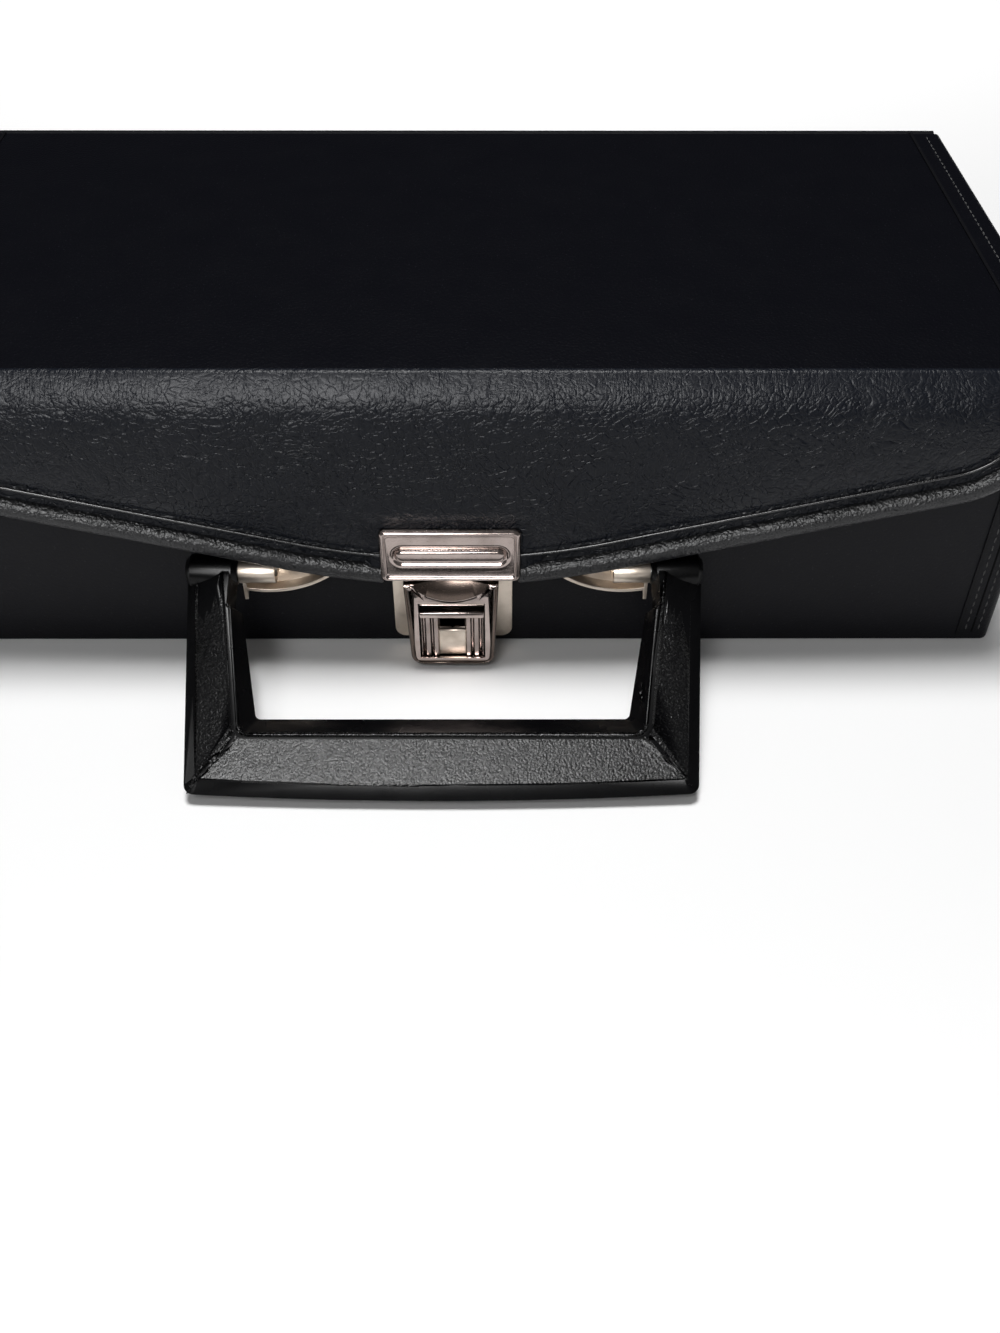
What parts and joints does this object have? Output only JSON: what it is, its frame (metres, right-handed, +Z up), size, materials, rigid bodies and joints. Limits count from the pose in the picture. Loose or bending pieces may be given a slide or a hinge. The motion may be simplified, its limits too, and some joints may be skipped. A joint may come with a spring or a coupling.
{
  "type": "cassette tape case",
  "caption": "Black vinyl-covered carrying case for boxed audio cassettes, with a hinged lid, a padded front flap, a plated slide lock, a bail handle and a slotted tray.",
  "frame": {"origin": "centre of the bottom face of the box, on the surface that the case lies on", "axes": "+Z up through the lid, -Y out of the front wall with the lock and handle, +X to the right seen from the front"},
  "size_m": [0.29, 0.1969, 0.0844],
  "materials": {
    "vinyl": "leather-grained black vinyl, semi-matt",
    "board": "grey-brown pasteboard",
    "cord": "black vinyl-covered cord",
    "lining": "black flock paper",
    "padding": "soft foam",
    "tray": "moulded styrene, matt",
    "plated_steel": "nickel-plated, warm tint",
    "plain_steel": "zinc-plated",
    "handle": "black ABS, spark-textured faces and polished bevels"
  },
  "bodies": {
    "case_body": {"bottom_cover": "vinyl", "front_cover": "vinyl", "back_cover": "vinyl", "left_end_cover": "vinyl", "right_end_cover": "vinyl", "bottom_board": "board", "front_board": "board", "back_board": "board", "left_end_board": "board", "right_end_board": "board", "body_seam_cords": "cord", "body_lining": "lining", "cassette_tray": "tray", "slot_dividers": "tray", "lock_base_plate": "plated_steel", "lock_housing": "plated_steel", "detent_spring": "plain_steel", "lock_back_plate": "plain_steel", "lock_rivets": "plain_steel", "left_bracket": "plated_steel", "right_bracket": "plated_steel", "bracket_back_plates": "plain_steel", "bracket_rivets": "plain_steel"},
    "lid": {"lid_board": "board", "lid_cover": "vinyl", "left_lid_border": "vinyl", "right_lid_border": "vinyl", "lid_lining": "lining", "lid_seam_cords": "cord", "hinge_roll": "vinyl"},
    "flap": {"fold_roll": "vinyl", "flap_lining": "lining", "flap_board": "board", "flap_foam": "padding", "flap_cover": "vinyl", "flap_roll": "vinyl", "flap_seam_cord": "cord", "catch_plate": "plated_steel", "catch_back_plate": "plain_steel", "catch_staple": "plated_steel"},
    "lock_slide": {"lock_slider": "plated_steel", "latch_bolt": "plain_steel", "slider_rivet": "plain_steel"},
    "handle": {"handle": "handle", "handle_pins": "plain_steel"}
  },
  "joints": [
    {"name": "lid_hinge", "type": "hinge", "parent": "case_body", "child": "lid", "pos_m": [0, 0.06675, 0.08225], "axis": [-1, 0, 0], "range_deg": [0, 110]},
    {"name": "flap_hinge", "type": "hinge", "parent": "lid", "child": "flap", "pos_m": [0, -0.07205, 0.08185], "axis": [-1, 0, 0], "range_deg": [0, 100]},
    {"name": "handle_swing", "type": "hinge", "parent": "case_body", "child": "handle", "pos_m": [-0.0017, -0.0734, 0.02826], "axis": [1, 0, 0], "range_deg": [-50, 62]},
    {"name": "lock_slide_travel", "type": "slide", "parent": "case_body", "child": "lock_slide", "axis": [0, 0, 1], "range_m": [0, 0.0022]}
  ]
}
